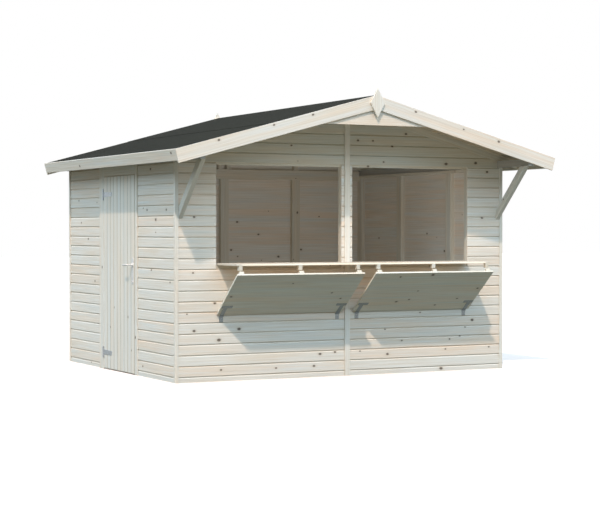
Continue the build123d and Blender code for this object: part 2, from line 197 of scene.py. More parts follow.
# Shader helpers
class Nodes:
    """A node tree with short calls for the nodes used here."""

    def __init__(self, tree):
        self.tree = tree

    def add(self, kind, **settings):
        node = self.tree.nodes.new(kind)
        for key, value in settings.items():
            setattr(node, key, value)
        return node

    def join(self, source, target):
        self.tree.links.new(source, target)

    def feed(self, socket, value):
        """Link a socket, or set it to a plain value."""
        if hasattr(value, "is_output"):
            self.join(value, socket)
        else:
            socket.default_value = value

    def math(self, operation, first, second=0.0, third=0.0):
        node = self.add("ShaderNodeMath", operation=operation)
        for socket, value in zip(node.inputs, (first, second, third)):
            self.feed(socket, value)
        return node.outputs[0]

    def vector(self, operation, first, second=(0, 0, 0)):
        node = self.add("ShaderNodeVectorMath", operation=operation)
        self.feed(node.inputs[0], first)
        self.feed(node.inputs[1], second)
        return node.outputs["Value" if operation == "LENGTH" else "Vector"]

    def parts(self, vector):
        """The x, y and z of a vector."""
        node = self.add("ShaderNodeSeparateXYZ")
        self.join(vector, node.inputs[0])
        return node.outputs

    def noise(self, vector, scale, detail, roughness):
        node = self.add("ShaderNodeTexNoise")
        self.feed(node.inputs["Vector"], vector)
        node.inputs["Scale"].default_value = scale
        node.inputs["Detail"].default_value = detail
        node.inputs["Roughness"].default_value = roughness
        return node.outputs["Fac"]

    def pattern(self, place, repeats, detail, roughness):
        """Noise with its own number of repeats a metre along each axis."""
        return self.noise(self.vector("MULTIPLY", place, repeats), 1.0, detail, roughness)

    def ramp(self, factor, stops):
        """Colour ramp; each stop is a position and a colour of three or four parts."""
        node = self.add("ShaderNodeValToRGB")
        elements = node.color_ramp.elements
        while len(elements) < len(stops):
            elements.new(0.5)
        for element, (position, colour) in zip(elements, stops):
            element.position = position
            element.color = colour if len(colour) == 4 else (*colour, 1)
        self.join(factor, node.inputs[0])
        return node.outputs

    def mix(self, factor, first, second, blend="MIX"):
        node = self.add("ShaderNodeMix", data_type="RGBA", blend_type=blend)
        self.feed(node.inputs[0], factor)
        self.feed(node.inputs[6], first)
        self.feed(node.inputs[7], second)
        return node.outputs[2]

    def tint(self, base, colour):
        return self.mix(1.0, base, colour, "MULTIPLY")

    def attribute(self, name):
        return self.add("ShaderNodeAttribute", attribute_name=name)


class Finish(Nodes):
    """The nodes of a new material, around its own shader."""

    def __init__(self, name):
        self.material = bpy.data.materials.new(name)
        self.material.use_nodes = True
        super().__init__(self.material.node_tree)
        self.shader = self.tree.nodes["Principled BSDF"]

    def shade(self, **values):
        """Feed the shader's own sockets, named with underscores for spaces."""
        for name, value in values.items():
            self.feed(self.shader.inputs[name.replace("_", " ")], value)

    def bump(self, height, strength, distance):
        node = self.add("ShaderNodeBump")
        node.inputs["Strength"].default_value = strength
        node.inputs["Distance"].default_value = distance
        self.join(height, node.inputs["Height"])
        self.join(node.outputs[0], self.shader.inputs["Normal"])


# Wood. Its patterns repeat so many times a metre along the grain, across it and through
# the board, and painted shade darkens the recess of a board, between 0.34 and 0.44 of its scaled
# depth.
streak_repeats = (0.9, 24, 24)
line_repeats = (1.6, 190, 190)
fibre_repeats = (14, 900, 900)
cloud_repeats = (1.1, 7, 7)
ragged_repeats = (60, 120, 120)
line_strength = 0.6
wood_roughness = 0.54
line_relief = 0.7
fibre_relief = 0.3
knot_stretch = (0.72, 1.0, 0.0)
knot_push = 0.012
knot_raggedness = 0.5
knot_scale = 0.2
painted_groove_shade_scale = 60.0
no_tint = (1, 1, 1)
grey_stops = ((0.42, (0, 0, 0)), (0.68, (1, 1, 1)))
latewood_stops = ((0.40, (0.80, 0.74, 0.66)), (0.60, no_tint))
blush_stops = ((0.36, (0.985, 1, 1.01)), (0.5, no_tint), (0.66, (1.01, 0.965, 0.92)))
knot_stops = (
    (0.00, (0.11, 0.080, 0.058, 0.95)),
    (0.15, (0.15, 0.110, 0.080, 0.92)),
    (0.195, (0.055, 0.042, 0.034, 0.95)),
    (0.24, (0.38, 0.31, 0.23, 0.45)),
    (0.38, (0.62, 0.53, 0.42, 0.20)),
    (0.70, (0.70, 0.62, 0.52, 0.0)),
)


def knot_distance(nodes, place):
    """Distance to the nearest of the board's knots, in radii of that knot."""
    nearest = None
    for slot in range(knot_slots):
        knot = nodes.attribute(f"knot_{slot}").outputs["Vector"]
        flat = nodes.vector("MULTIPLY", nodes.vector("SUBTRACT", place, knot), knot_stretch)
        radius = nodes.math("MAXIMUM", nodes.parts(knot)["Z"], 0.001)
        distance = nodes.math("DIVIDE", nodes.vector("LENGTH", flat), radius)
        nearest = distance if nearest is None else nodes.math("MINIMUM", nearest, distance)
    return nearest


def bent_grain(nodes, place, nearest):
    """The grain coordinates, pushed aside where the grain flows round a knot."""
    parts = nodes.parts(place)
    fading = nodes.math("ADD", nodes.math("POWER", nearest, 2.0), 0.6)
    across = nodes.math("ADD", parts["Y"], nodes.math("DIVIDE", knot_push, fading))
    bent = nodes.add("ShaderNodeCombineXYZ")
    for socket, source in zip(bent.inputs, (parts["X"], across, parts["Z"])):
        nodes.join(source, socket)
    return bent.outputs[0]


def wood(name, pale, warm, grey, painted_groove_shade=no_tint):
    """Planed softwood. Its coordinates are stored on the mesh: along the grain,
    across it and through the board, with the places of the board's own knots."""
    nodes = Finish(name)
    place = nodes.attribute("grain").outputs["Vector"]
    tone = nodes.attribute("tone").outputs["Fac"]
    nearest = knot_distance(nodes, place)
    bent = bent_grain(nodes, place, nearest)
    streak = nodes.pattern(bent, streak_repeats, detail=4.0, roughness=0.55)
    line = nodes.pattern(bent, line_repeats, detail=3.0, roughness=0.6)
    fibre = nodes.pattern(bent, fibre_repeats, detail=2.0, roughness=0.6)
    cloud = nodes.pattern(bent, cloud_repeats, detail=2.0, roughness=0.5)
    ragged = nodes.pattern(place, ragged_repeats, detail=2.0, roughness=0.5)

    base = nodes.mix(tone, (*pale, 1), (*warm, 1))
    base = nodes.mix(nodes.ramp(streak, grey_stops)["Color"], base, (*grey, 1))
    latewood = nodes.ramp(line, latewood_stops)["Color"]
    base = nodes.mix(line_strength, base, nodes.tint(base, latewood))
    base = nodes.tint(base, nodes.ramp(cloud, blush_stops)["Color"])

    # Painted shade of the grooves: the board's recess and chamfers, found by their depth through
    # it, are tinted darker with the groove shade colour.
    depth = nodes.math("ABSOLUTE", nodes.parts(place)["Z"])
    depth = nodes.math("MULTIPLY", depth, painted_groove_shade_scale)
    painted_groove_shade_stops = ((0.12, no_tint), (0.34, painted_groove_shade), (0.44, painted_groove_shade), (0.60, no_tint))
    base = nodes.tint(base, nodes.ramp(depth, painted_groove_shade_stops)["Color"])
    ring = nodes.math("ADD", nearest, nodes.math("MULTIPLY", ragged, knot_raggedness))
    knot = nodes.ramp(nodes.math("MULTIPLY", ring, knot_scale), knot_stops)
    base = nodes.mix(knot["Alpha"], base, knot["Color"])

    rough = nodes.math("MULTIPLY_ADD", line, 0.16, wood_roughness)
    nodes.shade(Base_Color=base, Roughness=rough, Specular_IOR_Level=0.3)
    relief = nodes.math(
        "ADD",
        nodes.math("MULTIPLY", line, line_relief),
        nodes.math("MULTIPLY", fibre, fibre_relief),
    )
    nodes.bump(relief, strength=0.35, distance=0.0006)
    return nodes.material


# The fourth colour of a wood, where given, is the painted shade of its grooves and chamfers.
wood_finishes = {
    "wall_boards": wood(
        "spruce_cladding", (0.82, 0.80, 0.745), (0.85, 0.76, 0.665), (0.775, 0.78, 0.75),
        (0.88, 0.84, 0.79),
    ),
    "trim_boards": wood(
        "spruce_trim", (0.82, 0.80, 0.74), (0.84, 0.77, 0.68), (0.77, 0.78, 0.75)
    ),
    "frame_timber": wood(
        "spruce_framing", (0.74, 0.71, 0.63), (0.73, 0.68, 0.58), (0.69, 0.69, 0.64)
    ),
    "counter_board": wood(
        "spruce_counter", (0.74, 0.71, 0.64), (0.74, 0.68, 0.59), (0.70, 0.69, 0.64)
    ),
    "flap_boards": wood(
        "spruce_flap", (0.82, 0.82, 0.74), (0.82, 0.78, 0.69), (0.77, 0.79, 0.74)
    ),
    "door_boards": wood(
        "spruce_door", (0.83, 0.82, 0.77), (0.85, 0.80, 0.72), (0.79, 0.81, 0.79),
        (0.60, 0.57, 0.51),
    ),
}
verge_finish = wood(
    "spruce_verge", (0.85, 0.81, 0.73), (0.87, 0.77, 0.67), (0.81, 0.80, 0.76)
)
# The front gable's wood is darker than the walls': painted shade of the roof overhang. Its groove
# shade is nearly white.
painted_shade_gable_finish = wood(
    "spruce_gable_painted_shade", (0.69, 0.69, 0.62), (0.71, 0.66, 0.57), (0.65, 0.67, 0.63),
    (0.98, 0.96, 0.93),
)
# The purlins are darker: painted shade under the roof overhang.
painted_shade_purlin_finish = wood(
    "spruce_purlin_painted_shade", (0.45, 0.45, 0.43), (0.46, 0.44, 0.40), (0.41, 0.42, 0.42)
)
# The braces are darker too: painted shade under the roof overhang.
painted_shade_brace_finish = wood(
    "spruce_brace_painted_shade", (0.68, 0.68, 0.63), (0.68, 0.66, 0.59), (0.63, 0.64, 0.62)
)
deck_finish = wood(
    "spruce_roof_boards", (0.54, 0.47, 0.36), (0.52, 0.42, 0.30), (0.48, 0.44, 0.36)
)

# Felt
grit_scale = 900.0
patch_repeats = (1.5, 0.5, 1.5)
grit_stops = ((0.35, (0.0044, 0.0054, 0.0033)), (0.70, (0.0138, 0.0168, 0.0104)))
patch_stops = ((0.35, (0.82, 0.84, 0.82)), (0.65, (1.12, 1.12, 1.10)))


def felt_finish():
    """Bitumen felt with a fine mineral surface."""
    nodes = Finish("mineral_felt")
    place = nodes.add("ShaderNodeTexCoord").outputs["Object"]
    grit = nodes.noise(place, grit_scale, detail=2.0, roughness=0.7)
    patches = nodes.pattern(place, patch_repeats, detail=4.0, roughness=0.6)
    colour = nodes.ramp(grit, grit_stops)["Color"]
    colour = nodes.tint(colour, nodes.ramp(patches, patch_stops)["Color"])
    nodes.shade(Base_Color=colour, Roughness=0.92, Specular_IOR_Level=0.12)
    nodes.bump(grit, strength=0.5, distance=0.0012)
    return nodes.material


# Metal
spangle_scale = 140.0
spangle_dark = 0.8
spangle_light = 1.18


def metal_finish(name, colour, roughness):
    """Plated steel with a faint cloudy spangle."""
    nodes = Finish(name)
    place = nodes.add("ShaderNodeTexCoord").outputs["Object"]
    spangle = nodes.noise(place, spangle_scale, detail=3.0, roughness=0.6)
    darker = tuple(part * spangle_dark for part in colour)
    lighter = tuple(min(1.0, part * spangle_light) for part in colour)
    base = nodes.ramp(spangle, ((0.35, darker), (0.65, lighter)))["Color"]
    rough = nodes.math("MULTIPLY_ADD", spangle, 0.2, roughness - 0.1)
    nodes.shade(Base_Color=base, Metallic=0.85, Roughness=rough)
    nodes.bump(spangle, strength=0.15, distance=0.0004)
    return nodes.material


felt_material = felt_finish()
zinc_material = metal_finish("zinc_plate", (0.60, 0.64, 0.68), 0.5)
handle_material = metal_finish("satin_handle", (0.84, 0.86, 0.89), 0.55)
# The flap hinges' zinc is darker than the door's: painted shade below the flaps.
painted_shade_zinc = metal_finish("painted_shade_zinc_plate", (0.36, 0.39, 0.41), 0.42)
screw_material = metal_finish("screw_steel", (0.50, 0.52, 0.53), 0.42)
# A near-black core: painted shade of the keyway.
keyway_shade_material = metal_finish("keyway_painted_shade", (0.05, 0.05, 0.05), 0.5)


# Sawing helpers
def span(verts, axis):
    """Lowest and highest place of some vertices along an axis."""
    places = [vert.co.dot(axis) for vert in verts]
    return min(places), max(places)


def corners(solid):
    """Lowest and highest corner of a solid."""
    low, high = zip(*(span(solid.verts, axis) for axis in (X, Y, Z)))
    return Vector(low), Vector(high)


def square_to(slope):
    """Direction square to a slope, in the plane of the gable and pointing up."""
    return (Z - slope * slope.z).normalized()


def cut(solid, point, normal):
    """Take off all that lies beyond a plane and close the cut."""
    result = bmesh.ops.bisect_plane(
        solid,
        geom=solid.verts[:] + solid.edges[:] + solid.faces[:],
        plane_co=point,
        plane_no=normal,
        clear_outer=True,
    )
    edges = [item for item in result["geom_cut"] if isinstance(item, bmesh.types.BMEdge)]
    if edges:
        bmesh.ops.holes_fill(solid, edges=edges, sides=0)


def loft(rings):
    """A closed skin over rings of points, each ring with as many points."""
    solid = bmesh.new()
    made = [[solid.verts.new(point) for point in ring] for ring in rings]
    for low_ring, high_ring in zip(made, made[1:]):
        for i in range(len(low_ring)):
            j = (i + 1) % len(low_ring)
            solid.faces.new((low_ring[i], low_ring[j], high_ring[j], high_ring[i]))
    solid.faces.new(made[0])
    solid.faces.new(made[-1])
    bmesh.ops.recalc_face_normals(solid, faces=solid.faces)
    return solid


def extruded(section, origin, along, across, out, start, end):
    """A section of (across, out) points carried along the grain from start to end."""
    return loft([
        [origin + along * s + across * a + out * o for a, o in section]
        for s in (start, end)
    ])


def soften(solid, width):
    """Break the sharp arrises of a sawn piece."""
    bmesh.ops.dissolve_limit(
        solid, angle_limit=radians(1), verts=solid.verts, edges=solid.edges
    )
    edges = [
        edge for edge in solid.edges
        if edge.is_manifold and edge.calc_face_angle() > sharp_angle
    ]
    bmesh.ops.bevel(
        solid, geom=edges, offset=width, segments=2, profile=0.6, affect="EDGES",
        clamp_overlap=True,
    )


def random_knots(length, width, rate):
    """Knots drawn for one board, each as (along, across, radius)."""
    knots = []
    for _ in range(knot_slots):
        if random_source.random() < rate * length / knot_slots:
            far_end = max(knot_end_gap + 0.01, length - knot_end_gap)
            along = random_source.uniform(knot_end_gap, far_end)
            across = random_source.uniform(knot_edge_share, 1 - knot_edge_share) * width
            knots.append((along, across, random_source.choice(knot_radii)))
    return knots


def board_knots(seen, start, end, low, high, rate):
    """All knots of one board, measured from its corner: those that were seen inside
    its outline, then those that are drawn for it."""
    knots = [
        (place - start, rise - low, radius)
        for place, rise, radius in seen
        if start < place < end and low < rise < high
    ]
    return knots + random_knots(end - start, high - low, rate)


def mark_grain(solid, origin, along, across, knots, paint_chamfer_shade=False):
    """Store the grain coordinates, the tone and the knots of one board. Its chamfers can
    be marked to take the painted shade of a recess."""
    out = along.cross(across)
    shift = random_source.uniform(1, 60)
    tone_value = random_source.random()
    grain = solid.loops.layers.float_vector.new("grain")
    tone = solid.faces.layers.float.new("tone")
    layers = [solid.faces.layers.float_vector.new(f"knot_{i}") for i in range(knot_slots)]
    places = [(s + shift, a, radius) for s, a, radius in knots[:knot_slots]]
    places += [no_knot] * (knot_slots - len(places))
    solid.normal_update()
    for face in solid.faces:
        # Chamfers marked for painted shade take the depth of the groove, so the wood tints them
        # with the groove's painted shade.
        chamfer = paint_chamfer_shade and 0.1 < abs(face.normal.dot(out)) < 0.99
        face[tone] = tone_value
        for layer, place in zip(layers, places):
            face[layer] = place
        for loop in face.loops:
            offset = loop.vert.co - origin
            depth = groove_depth if chamfer else offset.dot(out)
            loop[grain] = (offset.dot(along) + shift, offset.dot(across), depth)


def new_piece(name, solids, material, body):
    """One object made of many sawn pieces, riding on a body."""
    mesh = bpy.data.meshes.new(name)
    whole = bmesh.new()
    for solid in solids:
        part = bpy.data.meshes.new("part")
        solid.to_mesh(part)
        solid.free()
        whole.from_mesh(part)
        bpy.data.meshes.remove(part)
    whole.to_mesh(mesh)
    whole.free()
    mesh.materials.append(material)
    obj = bpy.data.objects.new(name, mesh)
    bpy.context.scene.collection.objects.link(obj)
    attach(obj, body)
    return obj


def dress(name, solids, node, finish=None):
    """A piece that stands for a CAD node, in the wood of that node's slot
    where no other finish is given."""
    slot = node_slot[node]
    obj = new_piece(name, solids, finish or wood_finishes[slot], node_body[node])
    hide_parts(node)


def cad_solids(node):
    """The separate solids of a CAD node, each as its own mesh."""
    whole = bmesh.new()
    whole.from_mesh(frame["nodes"][node].data)
    bmesh.ops.remove_doubles(whole, verts=whole.verts, dist=1e-6)
    left = set(whole.verts)
    found = []
    while left:
        group = {left.pop()}
        edge_of_group = list(group)
        while edge_of_group:
            vert = edge_of_group.pop()
            for edge in vert.link_edges:
                other = edge.other_vert(vert)
                if other not in group:
                    group.add(other)
                    edge_of_group.append(other)
        left -= group
        solid = bmesh.new()
        copies = {vert: solid.verts.new(vert.co) for vert in whole.verts if vert in group}
        for face in whole.faces:
            if face.verts[0] in group:
                solid.faces.new([copies[vert] for vert in face.verts])
        solid.normal_update()
        found.append(solid)
    whole.free()
    found.sort(key=lambda solid: tuple(round(c, 4) for c in corners(solid)[0]))
    return found


def timbers(node, along, rate, seen):
    """Sawn timbers with the shapes of a CAD node's solids. Their grain runs along the
    given direction or else along the longest side. Knots that were seen are given as
    (place along the grain, place across it, radius)."""
    solids = []
    for solid in cad_solids(node):
        low, high = corners(solid)
        longest, second, _ = sorted((X, Y, Z), key=lambda axis: -(high - low).dot(axis))
        grain_axis = (along or longest).normalized()
        side_axis = min(longest, second, key=lambda axis: abs(axis.dot(grain_axis)))
        side_axis = (side_axis - grain_axis * side_axis.dot(grain_axis)).normalized()
        soften(solid, timber_arris)
        start, end = span(solid.verts, grain_axis)
        left, right = span(solid.verts, side_axis)
        knots = board_knots(seen, start, end, left, right, rate)
        origin = grain_axis * start + side_axis * left
        mark_grain(solid, origin, grain_axis, side_axis, knots)
        solids.append(solid)
    return solids


def planks(node, along, across, count, width, rate=plank_rate, seen=(), paint_chamfer_shade=False):
    """A CAD slab sawn into boards that lie side by side across it, with arrises of
    some width. Knots that were seen are given as (place along, place across, radius).
    Its chamfers can be marked to take the painted shade of a recess."""
    solids = []
    for slab in cad_solids(node):
        first, last = span(slab.verts, across)
        step = (last - first) / count
        for i in range(count):
            board = slab.copy()
            low = first + step * i
            if i > 0:
                cut(board, across * low, -across)
            if i < count - 1:
                cut(board, across * (low + step), across)
            soften(board, width)
            start, end = span(board.verts, along)
            knots = board_knots(seen, start, end, low, low + step, rate)
            origin = along * start + across * low
            mark_grain(board, origin, along, across, knots, paint_chamfer_shade)
            solids.append(board)
        slab.free()
    return solids


# Wall cladding
def clipped_section(low, high):
    """Section of one course between two heights within its cover, cut flat there.
    The face has a narrow recess and a chamfer along its top edge."""
    top = board_cover
    back = -board_thickness
    points = [
        (0.0, back + arris),
        (0.0, -arris),
        (arris, 0.0),
        (top - groove_height - chamfer_height, 0.0),
        (top - groove_height, -chamfer_depth),
        (top - groove_height + arris, -groove_depth),
        (top, -groove_depth),
        (top, back + arris),
        (top - arris, back),
        (arris, back),
    ]
    for limit, keep in ((low, 1), (high, -1)):
        kept = []
        for i, (a, o) in enumerate(points):
            b, p = points[i - 1]
            inside = keep * (a - limit) >= 0
            was_inside = keep * (b - limit) >= 0
            if inside != was_inside:
                t = (limit - b) / (a - b)
                kept.append((limit, p + t * (o - p)))
            if inside:
                kept.append((a, o))
        points = kept
    return points


def clad_box(low, high, out, rate, seen):
    """Horizontal courses over an upright slab between two corners, on its outer face.
    Knots that were seen are given as (place along the wall, height, radius)."""
    along = X if abs(out.y) > 0.5 else Y
    face = out.dot(high if out.dot(X + Y) > 0 else low)
    start, end = low.dot(along), high.dot(along)
    solids = []
    course_low = first_course - board_cover
    while course_low < high.z - 1e-6:
        foot = max(0.0, low.z - course_low)
        head = min(board_cover, high.z - course_low)
        if head - foot > thinnest_course:
            wander = random_source.uniform(-board_wander, board_wander)
            base = out * (face + wander) + Z * course_low
            solid = extruded(clipped_section(foot, head), base, along, Z, out, start, end)
            knots = board_knots(seen, start, end, course_low + foot, course_low + head, rate)
            knots = [(start + s, foot + a, radius) for s, a, radius in knots]
            mark_grain(solid, base, along, Z, knots)
            solids.append(solid)
        course_low += board_cover
    return solids


# Knots that were seen on the walls: place along the wall, height and radius
front_knots = (
    (-1.500, 0.444, 0.011), (-1.265, 0.360, 0.014), (-1.073, 0.450, 0.013),
    (-1.246, 0.099, 0.008), (-1.566, 0.590, 0.006), (-0.713, 0.095, 0.008),
    (-0.334, 0.099, 0.010), (-0.273, 0.204, 0.011), (-0.121, 0.216, 0.009),
    (0.137, 0.216, 0.007), (0.425, 0.179, 0.011), (1.050, 0.204, 0.007),
    (1.002, 0.026, 0.014), (1.455, 1.425, 0.010), (-1.499, 1.424, 0.009),
    (-1.509, 0.943, 0.007), (1.510, 1.859, 0.010), (0.115, 2.121, 0.010),
    (0.475, 2.075, 0.009), (0.620, 2.192, 0.010), (1.054, 1.926, 0.014),
    (1.382, 1.940, 0.012), (0.383, 1.931, 0.008), (-0.560, 2.060, 0.008),
    (0.399, 0.406, 0.006), (0.577, 0.298, 0.007), (1.095, 0.296, 0.007),
    (1.211, 0.322, 0.007), (1.267, 0.403, 0.006), (1.345, 0.467, 0.012),
    (1.534, 0.209, 0.007), (0.773, 0.551, 0.006),
)
back_knots = (
    (0.093, 1.102, 0.010), (0.648, 1.029, 0.011), (0.919, 1.102, 0.010),
    (0.412, 1.265, 0.009), (0.811, 1.386, 0.006), (1.138, 1.456, 0.006),
)
right_knots = ((-0.155, 1.102, 0.011), (0.175, 1.275, 0.009), (1.147, 1.226, 0.008))

# On the left wall the place is measured from the front
knots_from_front = (
    (0.560, 1.851, 0.011), (0.642, 1.490, 0.010), (0.200, 1.488, 0.010),
    (0.440, 1.403, 0.013), (2.156, 1.226, 0.010), (1.972, 0.822, 0.009),
    (0.544, 0.959, 0.009), (0.120, 0.861, 0.008), (2.420, 1.600, 0.008),
)
wall_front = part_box("front_piers")[0].y
left_knots = tuple(
    (wall_front + place, height, radius) for place, height, radius in knots_from_front
)
front_nodes = ("front_lower_left", "front_lower_right", "front_piers")
back_nodes = ("back_wall_left", "back_wall_right")
for node, out, rate, seen in (
    *((node, -Y, front_rate, front_knots) for node in front_nodes),
    *((node, Y, hidden_rate, back_knots) for node in back_nodes),
    ("left_wall", -X, left_rate, left_knots),
):
    solids = []
    for solid in cad_solids(node):
        solids += clad_box(*corners(solid), out, rate, seen)
        solid.free()
    dress(f"{node}_boards", solids, node)

# Right wall, in panels whose joints lie under its cover strips
low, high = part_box("right_wall")
strip_middles = sorted(
    sum(corners(solid), Vector()).y / 2
    for solid in cad_solids("cover_strips")
    if corners(solid)[0].x > high.x - 0.001
)
edges = [low.y, *strip_middles, high.y]
solids = []
for start, end in zip(edges, edges[1:]):
    panel = (Vector((low.x, start, low.z)), Vector((high.x, end, high.z)))
    solids += clad_box(*panel, X, hidden_rate, right_knots)
dress("right_wall_boards", solids, "right_wall")

# Gables, cut to the slope and around the ridge beam
beam_low, beam_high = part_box("ridge_beam")
# The front gable takes the wood with the painted shade of the overhang.
for node, out, seen, finish in (
    ("front_gable", -Y, front_knots, painted_shade_gable_finish),
    ("back_gable", Y, (), None),
):
    low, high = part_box(node)
    solids = []
    for start, end, top in (
        (low.x, beam_low.x, high.z),
        (beam_low.x, beam_high.x, beam_low.z),
        (beam_high.x, high.x, high.z),
    ):
        panel = (Vector((start, low.y, low.z)), Vector((end, high.y, top)))
        courses = clad_box(*panel, out, gable_rate, seen)
        for side in (-1, 1):
            shoulder = Vector((side * beam_high.x, 0, beam_high.z))
            for solid in courses:
                cut(solid, shoulder, Vector((side * sin(pitch), 0, cos(pitch))))
        solids += [solid for solid in courses if solid.faces]
    dress(f"{node}_boards", solids, node, finish)

# Framing, trim and roof timbers
slope_left = Vector((cos(pitch), 0, sin(pitch)))
slope_right = Vector((cos(pitch), 0, -sin(pitch)))
brace_line = Vector((0, -1, 1))
flap_up = Vector((0, -sin(flap_lean), cos(flap_lean)))


def on_slope(slope, knots):
    """Knots given by x and z, as places along and across a bargeboard."""
    side_axis = square_to(slope)
    return tuple(
        (Vector((x, 0, z)).dot(slope), Vector((x, 0, z)).dot(side_axis), radius)
        for x, z, radius in knots
    )


timber_knots = {
    "left_bargeboards": on_slope(
        slope_left, ((-1.511, 2.057, 0.009), (-1.001, 2.197, 0.008), (-0.629, 2.296, 0.009))
    ),
    "right_bargeboards": on_slope(
        slope_right, ((0.395, 2.353, 0.009), (0.897, 2.213, 0.007), (1.274, 2.112, 0.010))
    ),
    "eave_fascias": ((0.672, 1.916, 0.010), (-1.558, 1.946, 0.011)),
}
bare_of_knots = ("cover_strips", "corner_trims", "shelf_blocks")
other_finishes = {
    "left_bargeboards": verge_finish,
    "right_bargeboards": verge_finish,
    "tie_board": verge_finish,
    "gable_finials": verge_finish,
    "eave_purlins": painted_shade_purlin_finish,
    "overhang_braces": painted_shade_brace_finish,
}
for node, along in (
    ("end_wall_studs", None),
    ("end_wall_rails", None),
    ("side_wall_studs", None),
    ("side_wall_rails", None),
    ("eave_purlins", None),
    ("ridge_beam", None),
    ("left_rafters", slope_left),
    ("right_rafters", slope_right),
    ("left_bargeboards", slope_left),
    ("right_bargeboards", slope_right),
    ("eave_fascias", None),
    ("tie_board", X),
    ("gable_finials", Z),
    ("overhang_braces", brace_line),
    ("shelf_blocks", X),
    ("cover_strips", Z),
    ("corner_trims", Z),
    ("door_head", Y),
    ("door_ledges", Y),
    ("left_flap_battens", flap_up),
    ("right_flap_battens", flap_up),
):
    seen = timber_knots.get(node, ())
    rate = 0.0 if seen or node in bare_of_knots else timber_rate
    dress(f"{node}_timber", timbers(node, along, rate, seen), node, other_finishes.get(node))

# Knots that were seen on the door and, measured from the hinge, up the flaps
door_knots = (
    (0.591, 0.298, 0.007), (0.518, -0.052, 0.008), (0.403, 0.399, 0.007), (0.219, -0.135, 0.006),
)
knots_from_hinge = (
    (0.329, 0.507, 0.008), (0.656, 0.529, 0.012), (0.448, 0.144, 0.010), (0.570, 0.173, 0.008),
    (0.607, 0.298, 0.006), (1.238, 0.321, 0.009), (1.088, 0.172, 0.008),
    (-1.248, 0.268, 0.009), (-0.719, 0.439, 0.006), (-0.280, 0.296, 0.008), (-0.158, 0.211, 0.008),
)
hinge_axes = {
    joint["name"]: Vector(joint["pos_m"]) for joint in frame["record"]["behaviour"]["joints"]
}
hinge_rise = hinge_axes["left_flap_hinge"].dot(flap_up)
flap_knots = tuple((place, hinge_rise + reach, radius) for place, reach, radius in knots_from_hinge)

# Door, flaps and roof boards
# The door's board chamfers take the painted shade of a recess.
door_solids = planks("door_leaf", Z, Y, door_boards, door_arris, door_rate, door_knots, True)
dress("door_leaf_boards", door_solids, "door_leaf")
for hand, slope in (("left", slope_left), ("right", slope_right)):
    node = f"{hand}_flap_panel"
    flap_solids = planks(node, X, flap_up, flap_boards, panel_arris, flap_rate, flap_knots)
    dress(f"{node}_boards", flap_solids, node)
    node = f"{hand}_roof_deck"
    dress(f"{node}_boards", planks(node, Y, slope, deck_boards, panel_arris), node, deck_finish)

# Casing: one board before the door, and two side by side behind its hinges
casing_solids = []
for solid in cad_solids("door_casing"):
    low, high = corners(solid)
    edges = [low.y, high.y]
    if high.y - low.y > casing_split_over:
        edges.insert(1, high.y - outer_casing)
    for start, end in zip(edges, edges[1:]):
        board = solid.copy()
        cut(board, Y * start, -Y)
        cut(board, Y * end, Y)
        soften(board, casing_arris)
        knots = random_knots(high.z, end - start, casing_rate)
        mark_grain(board, Vector((low.x, start, 0)), Z, Y, knots)
        casing_solids.append(board)
dress("door_casing_boards", casing_solids, "door_casing")

shelf_solids = planks("counter_shelf", X, Y, shelf_boards, shelf_arris)
dress("counter_shelf_boards", shelf_solids, "counter_shelf")

# Roof felt in two lapped strips a slope, the upper one lying on the lower
for hand, up in (("left", slope_left), ("right", -slope_right)):
    node = f"{hand}_roof_felt"
    strips = []
    for solid in cad_solids(node):
        eave = span(solid.verts, up)[0]
        upper = solid.copy()
        cut(solid, up * (eave + felt_strip), up)
        cut(upper, up * (eave + felt_strip - felt_lap), -up)
        for vert in upper.verts:
            vert.co += square_to(up) * felt_lift
        strips += [solid, upper]
    dress(f"{node}_strips", strips, node, felt_material)

# The hinges keep their CAD shapes
# The flap hinges take the zinc with painted shade.
for node, material in (
    ("left_flap_straps", painted_shade_zinc),
    ("right_flap_straps", painted_shade_zinc),
    ("flap_hinge_plates", painted_shade_zinc),
    ("door_straps", zinc_material),
    ("door_hinge_plates", zinc_material),
):
    data = frame["nodes"][node].data
    for index in range(len(data.materials)):
        data.materials[index] = material


# Turned metal
def ring_about(centre, axis, radius, count):
    """Points of a circle about an axis."""
    side_one = axis.orthogonal().normalized()
    side_two = axis.cross(side_one)
    turns = [2 * pi * i / count for i in range(count)]
    return [centre + (side_one * cos(turn) + side_two * sin(turn)) * radius for turn in turns]


def turned(profile, centre, axis, count=turned_sides):
    """A round piece from (radius, height) points, turned about an axis."""
    return loft([
        ring_about(centre + axis * height, axis, radius, count) for radius, height in profile
    ])


def screw_head(place, out):
    """Head of a wood screw with the hollow of its drive."""
    shares = ((1, -0.25), (1, 0.25), (0.85, 0.8), (0.5, 1), (0.38, 0.9), (0.30, 0.15))
    profile = [(screw_radius * wide, screw_height * tall) for wide, tall in shares]
    return turned(profile, place, out, screw_sides)


# Screws of the door hinges, in the straps and in the plates
heads = {"door": [], "stall": [], "left_flap": [], "right_flap": []}
door_axis = hinge_axes["door_hinge"]
strap_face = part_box("door_straps")[1].x - leaf_plate
for solid in cad_solids("door_straps"):
    middle = sum(corners(solid), Vector()).z / 2
    for reach, rise in door_strap_screws:
        place = Vector((strap_face, door_axis.y - reach, middle + rise))
        heads["door"].append(screw_head(place, -X))
for solid in cad_solids("door_hinge_plates"):
    low, high = corners(solid)
    for share in door_plate_screws:
        rise = low.z + (high.z - low.z) * share
        place = Vector((strap_face, high.y - door_plate_inset, rise))
        heads["stall"].append(screw_head(place, -X))

